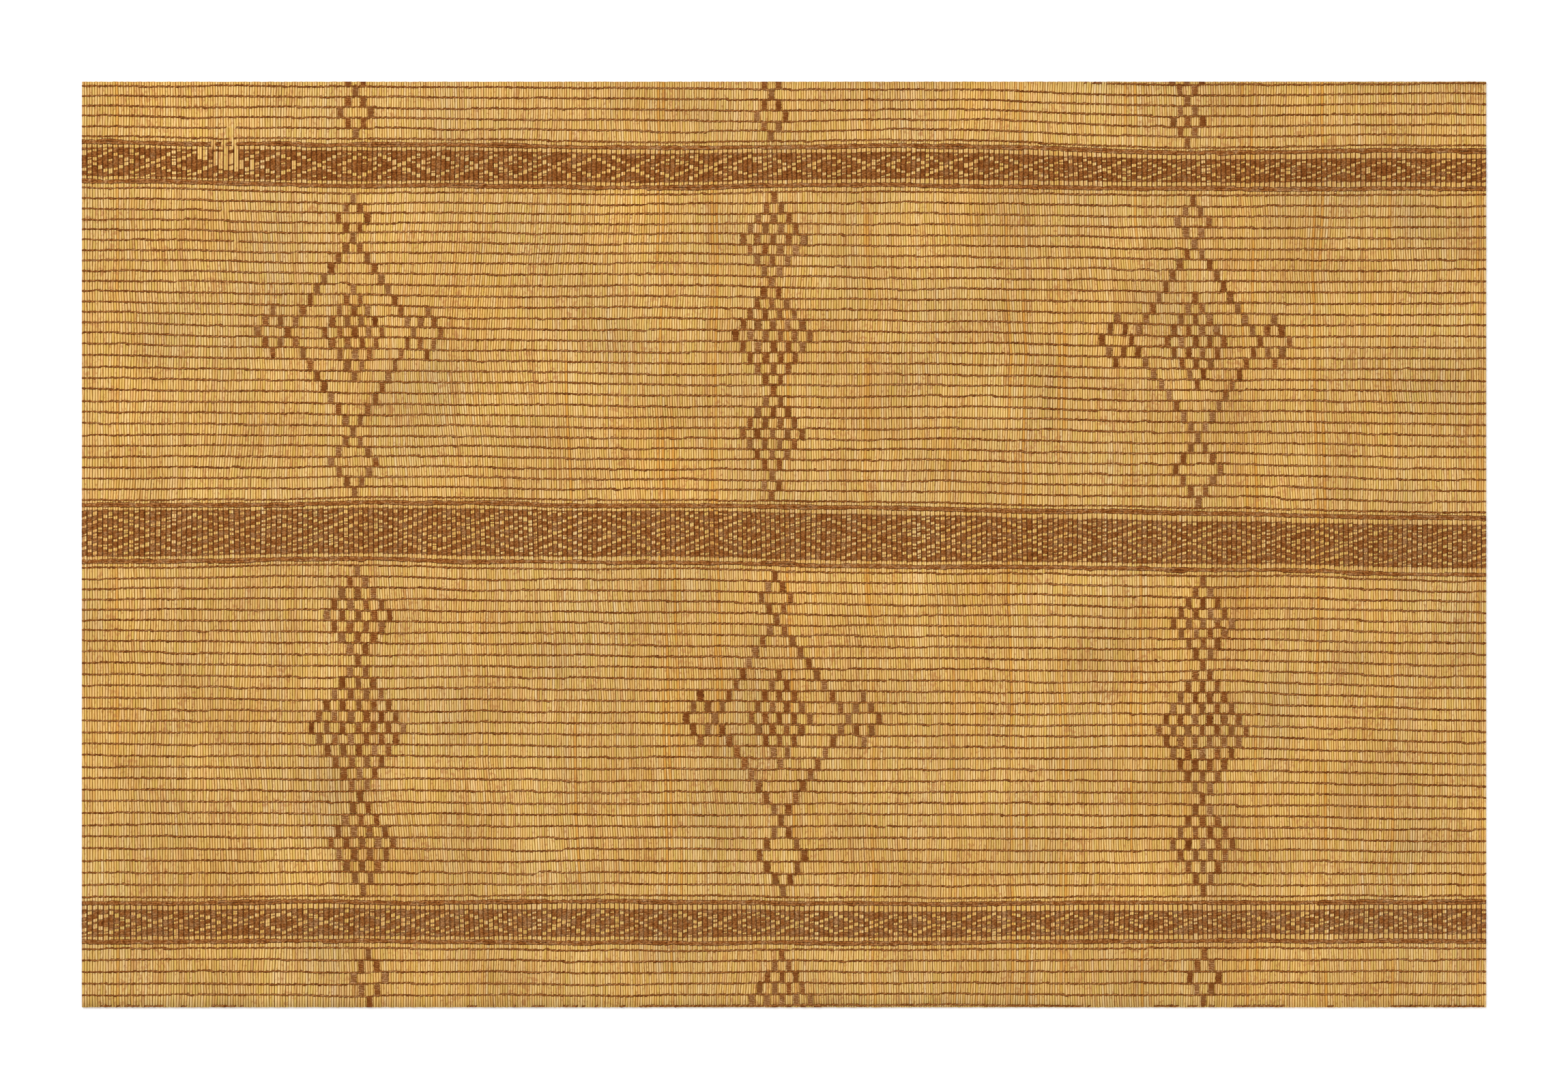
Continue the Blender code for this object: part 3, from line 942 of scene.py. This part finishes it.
# Painted shade where a back strip rises from the floor, and at its edges.
BACK_ROW_LIFT, LIFT_ACROSS_BACK_ROW = (1.0, 0.5), (0.4, 1.0, 0.4)
BACK_STRETCH, BACK_FOLDS = 8, 2
BACK_COLUMN_STATIONS = (4, 5, 4)
BACK_COLUMN_ACROSS = (0.97, 0.80, 0.20, 0.03)       # in shares of the pair's width
BACK_COLUMN_LOW, BACK_COLUMN_LOW_VARIES, BACK_COLUMN_END_VARIES = 0.15 * MM, 0.06 * MM, 0.35 * MM
# Painted shade at a back column's edges.
BACK_COLUMN_LIFT = (0.1, 0.9, 0.9, 0.1)
BACK_COLUMN_TONE, BACK_TURN_TONE = 0.6, 0.4
ACROSS_BACK_COLUMN = (0.0, 0.2, 0.8, 1.0)


def back_row_tubes():
    rows = [(row, BACK_HALF) for row in (*FAR_ROWS, *NEAR_ROWS)]
    rows += [(row, DOUBLE_BACK_HALF) for row in DOUBLE_ROWS]
    reed = np.arange(0, REEDS + 1, BACK_REEDS)
    is_low = np.arange(len(reed)) % 2 == 0
    for lane, (row, half) in enumerate(rows):
        x = reed_x(reed, line_y(row, reed_x(reed, 0.0)))
        y = line_y(row, x) + chance.normal(0, BACK_ROW_VARIES, len(reed))
        rings = ring_points(
            x[:, None],
            y[:, None] + half * np.array((-1.0, 0.0, 1.0)),
            each_ring(BACK_TOP, np.where(is_low, BACK_LOW, BACK_HIGH), BACK_TOP),
        )
        values = {
            "painted_light_and_tone": np.where(is_low, *BACK_ROW_LIFT)[:, None] * LIFT_ACROSS_BACK_ROW,
            "tone": stretched_tone(len(reed), BACK_STRETCH)[:, None],
            "turn": reed[:, None] / 2 + np.array((0.2, 0.0, -0.2)),
        }
        strips = folded(reed / REEDS, BACK_FOLDS, lane, len(rows))
        yield from kept_tubes(inside(y, half), rings, values, *strips)


def back_band_tubes():
    across = np.array(BACK_COLUMN_ACROSS)
    for line, (band, stations) in enumerate(zip(BANDS, BACK_COLUMN_STATIONS)):
        for column in range(PAIRS):
            x = column_x(band, column)
            y = np.linspace(*(cover_y(band, side, x) for side in COVER_SIDES), stations)
            y[[0, -1]] += chance.normal(0, BACK_COLUMN_END_VARIES, 2)
            low = chance.normal(BACK_COLUMN_LOW, BACK_COLUMN_LOW_VARIES, stations)
            low = np.clip(low, BACK_LOW, BACK_HIGH)
            left, right = laid_x(2 * column, y), laid_x(2 * column + 2, y)
            rings = ring_points(
                left[:, None] + (right - left)[:, None] * across,
                y[:, None],
                each_ring(BACK_TOP, low, low, BACK_TOP),
            )
            tone = chance.uniform() * BACK_COLUMN_TONE
            values = {
                "painted_light_and_tone": BACK_COLUMN_LIFT,
                "tone": tone + chance.uniform(0, BACK_TURN_TONE, (stations, 1)),
                "turn": ((y - y[0]) / MM)[:, None],
            }
            yield rings, values, *map_strip(stations, line, len(BANDS), column, PAIRS)


back_rows = twined_mesh("back_rows", back_row_tubes(), ACROSS_THONG, turned=True)
back_bands = twined_mesh("back_bands", back_band_tubes(), ACROSS_BACK_COLUMN)
for piece in (back_rows, back_bands):
    piece.data.materials.append(brown_leather)
    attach(piece, "root")
    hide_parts("reed_mat")

# The studio: a plain white floor, soft light from above, and a camera that looks straight down on the mat.
FLOOR_SIZE, FLOOR_DROP = 14.0, 0.5 * MM
FLOOR_WHITE, FLOOR_ROUGHNESS = (0.93, 0.93, 0.93, 1), 0.9
SOFT_LIGHT = 0.75
VIEW_WIDTH = 1.843
CAMERA_HEIGHT = 6.0
SENSOR = 36.0
bpy.ops.mesh.primitive_plane_add(size=FLOOR_SIZE, location=(0, 0, -FLOOR_DROP))
floor = bpy.context.object
floor.name = "floor"
white = Finish("white_floor")
white.give(white.shader.inputs["Base Color"], FLOOR_WHITE)
white.give(white.shader.inputs["Roughness"], FLOOR_ROUGHNESS)
floor.data.materials.append(white.material)
floor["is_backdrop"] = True

world = bpy.data.worlds.new("studio")
bpy.context.scene.world = world
world.use_nodes = True
world.node_tree.nodes["Background"].inputs["Color"].default_value = (1, 1, 1, 1)
world.node_tree.nodes["Background"].inputs["Strength"].default_value = SOFT_LIGHT

KEY_LIGHTS = (("key", (-1.6, 1.8, 3.2), 1.6, 95.0), ("fill", (2.2, -1.2, 3.0), 2.0, 40.0))
for light_name, place, size, power in KEY_LIGHTS:
    lamp = bpy.data.lights.new(light_name, "AREA")
    lamp.size = size
    lamp.energy = power
    holder = bpy.data.objects.new(light_name, lamp)
    holder.location = place
    x, y, z = place
    holder.rotation_euler = (math.atan2(math.hypot(x, y), z), 0, math.atan2(y, x) + math.pi / 2)
    bpy.context.scene.collection.objects.link(holder)

lens = bpy.data.cameras.new("camera")
lens.sensor_width = SENSOR
lens.lens = SENSOR * CAMERA_HEIGHT / VIEW_WIDTH
camera = bpy.data.objects.new("camera", lens)
camera.location = (0, 0, CAMERA_HEIGHT)
bpy.context.scene.collection.objects.link(camera)
bpy.context.scene.camera = camera
bpy.context.scene.view_settings.view_transform = "Standard"

full_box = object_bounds()
[[list(corner) for corner in box] for box in (cad_box, full_box)]
